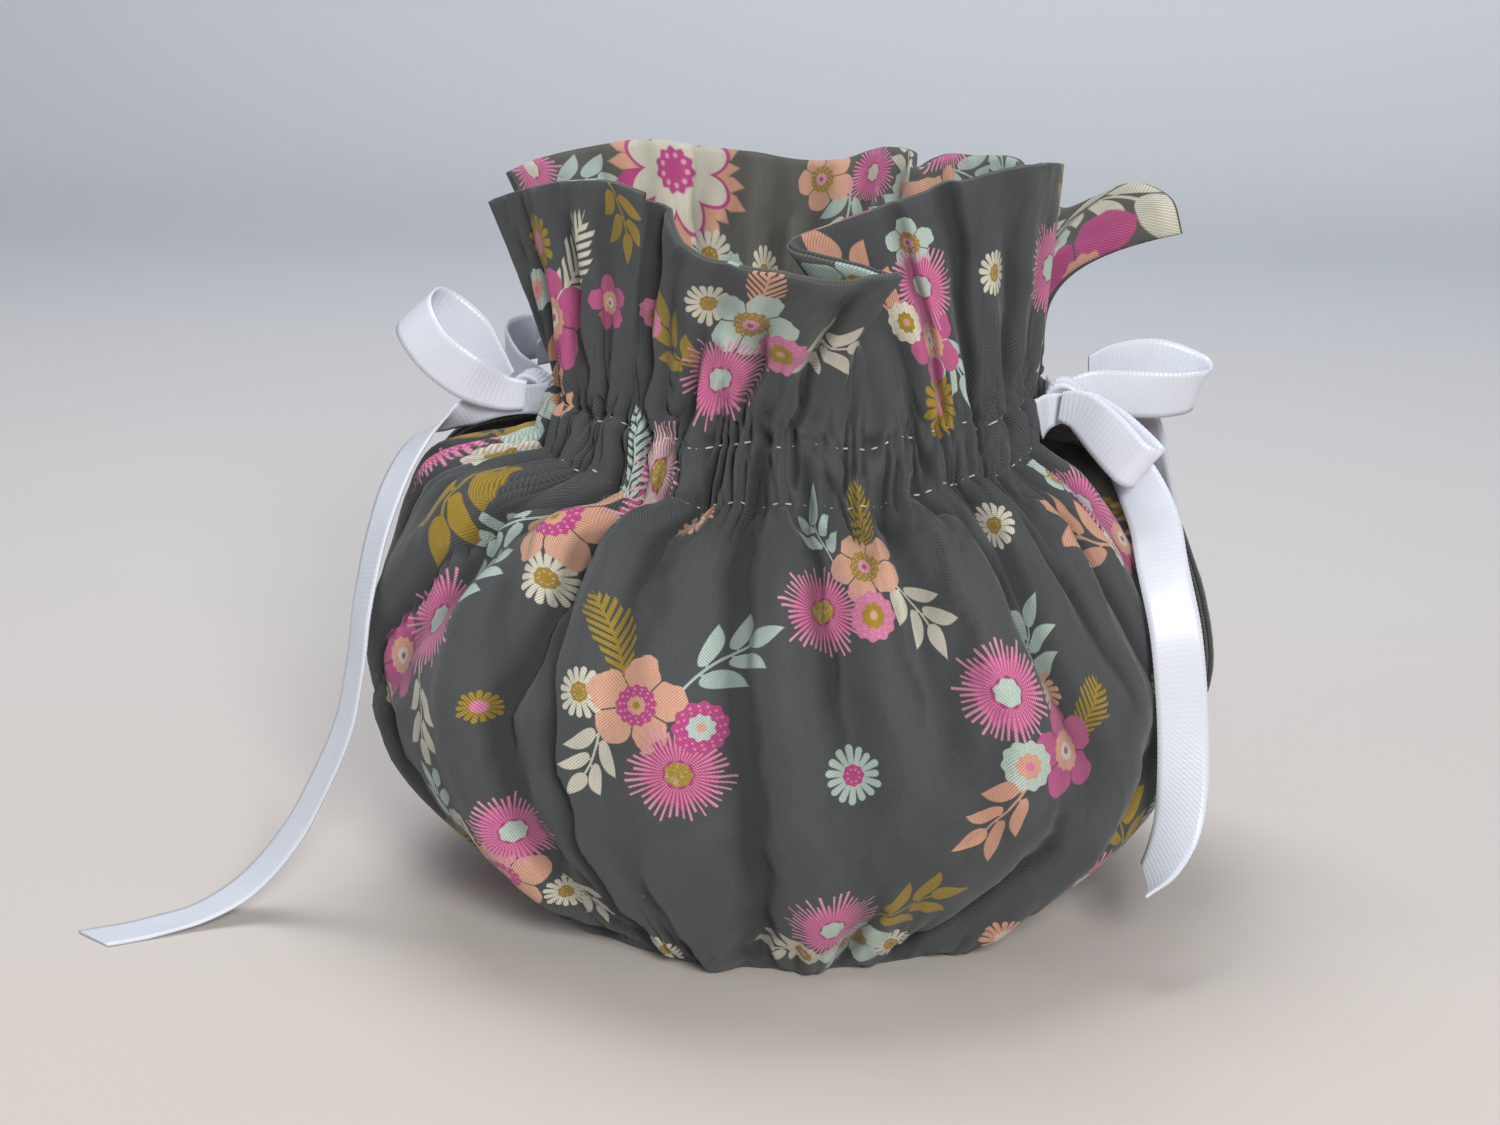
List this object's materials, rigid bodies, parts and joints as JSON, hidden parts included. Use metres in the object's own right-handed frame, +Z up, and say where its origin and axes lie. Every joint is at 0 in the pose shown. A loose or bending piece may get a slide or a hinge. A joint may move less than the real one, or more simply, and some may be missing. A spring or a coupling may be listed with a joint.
{
  "type": "tea cosy",
  "caption": "Lined cloth tea cosy with a gathered neck casing, a standing frill and an elastic hem, open at spout and handle and closed there with ribbon bows.",
  "frame": {"origin": "middle of the base box, on the surface that the hem rests on", "axes": "+Z up, +X towards the handle side, -X towards the spout side, -Y towards the front panel"},
  "size_m": [0.2272, 0.1592, 0.1578],
  "materials": {
    "front_print": "charcoal cotton with a scattered flower print, matt",
    "front_lining_print": "dark grey cotton with a larger flower print, matt",
    "back_print": "charcoal cotton with a scattered flower print, matt",
    "back_lining_print": "dark grey cotton with a larger flower print, matt",
    "ribbon": "white ribbed grosgrain ribbon, soft sheen"
  },
  "bodies": {
    "root": {"front_panel": "front_print", "front_lining": "front_lining_print", "back_panel": "back_print", "back_lining": "back_lining_print", "spout_tie_front": "ribbon", "spout_tie_back": "ribbon", "spout_loop_front": "ribbon", "spout_loop_back": "ribbon", "spout_knot": "ribbon", "handle_tie_front": "ribbon", "handle_tie_back": "ribbon", "handle_loop_front": "ribbon", "handle_loop_back": "ribbon", "handle_knot": "ribbon"}
  },
  "joints": []
}
